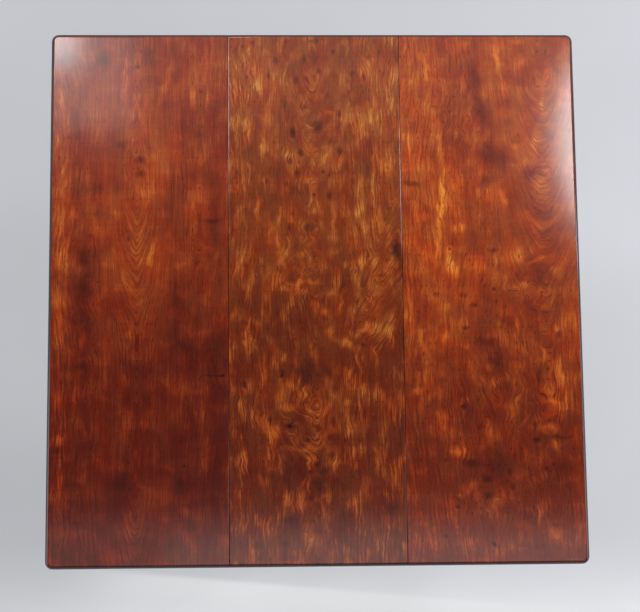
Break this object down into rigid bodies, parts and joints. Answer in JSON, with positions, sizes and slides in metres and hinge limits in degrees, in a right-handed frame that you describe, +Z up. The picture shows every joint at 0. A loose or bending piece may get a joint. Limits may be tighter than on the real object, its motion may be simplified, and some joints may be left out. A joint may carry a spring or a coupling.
{
  "type": "gate-leg table",
  "caption": "Drop-leaf table with a square top on slender turned spider legs; rule-jointed leaves hang or stand level on gates that swing out of the frame.",
  "frame": {"origin": "on the floor, under the middle of the top, with both leaves level", "axes": "+Z up; X across the three boards, +X towards the right leaf; Y along the boards and the rule joints, +Y towards the end that is uppermost in the picture"},
  "size_m": [0.8, 0.809, 0.711],
  "materials": {
    "figured_mahogany": "french-polished, golden-brown swirling figure",
    "leaf_mahogany": "french-polished, red-brown with streaks along the board",
    "frame_mahogany": "waxed, dark red-brown",
    "block_pine": "bare, browned with age",
    "hinge_iron": "dark wrought iron, dull"
  },
  "bodies": {
    "frame": {"centre_board": "figured_mahogany", "hinge_board_plate_left_front": "hinge_iron", "hinge_board_plate_left_back": "hinge_iron", "hinge_board_plate_right_front": "hinge_iron", "hinge_board_plate_right_back": "hinge_iron", "hinge_pin_left_front": "hinge_iron", "hinge_pin_left_back": "hinge_iron", "hinge_pin_right_front": "hinge_iron", "hinge_pin_right_back": "hinge_iron", "corner_leg_left_front": "frame_mahogany", "corner_leg_left_back": "frame_mahogany", "corner_leg_right_front": "frame_mahogany", "corner_leg_right_back": "frame_mahogany", "long_rail_left": "frame_mahogany", "long_rail_right": "frame_mahogany", "end_rail_front": "frame_mahogany", "end_rail_back": "frame_mahogany", "long_stretcher_left": "frame_mahogany", "long_stretcher_right": "frame_mahogany", "end_stretcher_front": "frame_mahogany", "end_stretcher_back": "frame_mahogany", "glue_block_left_front": "block_pine", "glue_block_left_back": "block_pine", "glue_block_right_front": "block_pine", "glue_block_right_back": "block_pine", "glue_block_front": "block_pine", "glue_block_back": "block_pine"},
    "left_leaf": {"leaf_left": "leaf_mahogany", "hinge_leaf_plate_left_front": "hinge_iron", "hinge_leaf_plate_left_back": "hinge_iron", "gate_stop_left_front": "frame_mahogany", "gate_stop_left_back": "frame_mahogany"},
    "right_leaf": {"leaf_right": "leaf_mahogany", "hinge_leaf_plate_right_front": "hinge_iron", "hinge_leaf_plate_right_back": "hinge_iron", "gate_stop_right_front": "frame_mahogany", "gate_stop_right_back": "frame_mahogany"},
    "gate_left_front": {"gate_post_left_front": "frame_mahogany", "gate_leg_left_front": "frame_mahogany", "gate_rail_left_front": "frame_mahogany", "gate_stretcher_left_front": "frame_mahogany"},
    "gate_left_back": {"gate_post_left_back": "frame_mahogany", "gate_leg_left_back": "frame_mahogany", "gate_rail_left_back": "frame_mahogany", "gate_stretcher_left_back": "frame_mahogany"},
    "gate_right_front": {"gate_post_right_front": "frame_mahogany", "gate_leg_right_front": "frame_mahogany", "gate_rail_right_front": "frame_mahogany", "gate_stretcher_right_front": "frame_mahogany"},
    "gate_right_back": {"gate_post_right_back": "frame_mahogany", "gate_leg_right_back": "frame_mahogany", "gate_rail_right_back": "frame_mahogany", "gate_stretcher_right_back": "frame_mahogany"}
  },
  "joints": [
    {"name": "leaf_left_hinge", "type": "hinge", "parent": "frame", "child": "left_leaf", "pos_m": [-0.1305, 0, 0.698], "axis": [0, 1, 0], "range_deg": [-90, 0]},
    {"name": "leaf_right_hinge", "type": "hinge", "parent": "frame", "child": "right_leaf", "pos_m": [0.1305, 0, 0.698], "axis": [0, -1, 0], "range_deg": [-90, 0]},
    {"name": "gate_left_front_pivot", "type": "hinge", "parent": "frame", "child": "gate_left_front", "pos_m": [-0.098, -0.28994, 0.133], "axis": [0, 0, 1], "range_deg": [0, 90]},
    {"name": "gate_left_back_pivot", "type": "hinge", "parent": "frame", "child": "gate_left_back", "pos_m": [-0.098, 0.28994, 0.133], "axis": [0, 0, -1], "range_deg": [0, 90]},
    {"name": "gate_right_front_pivot", "type": "hinge", "parent": "frame", "child": "gate_right_front", "pos_m": [0.098, -0.28994, 0.133], "axis": [0, 0, -1], "range_deg": [0, 90]},
    {"name": "gate_right_back_pivot", "type": "hinge", "parent": "frame", "child": "gate_right_back", "pos_m": [0.098, 0.28994, 0.133], "axis": [0, 0, 1], "range_deg": [0, 90]}
  ]
}
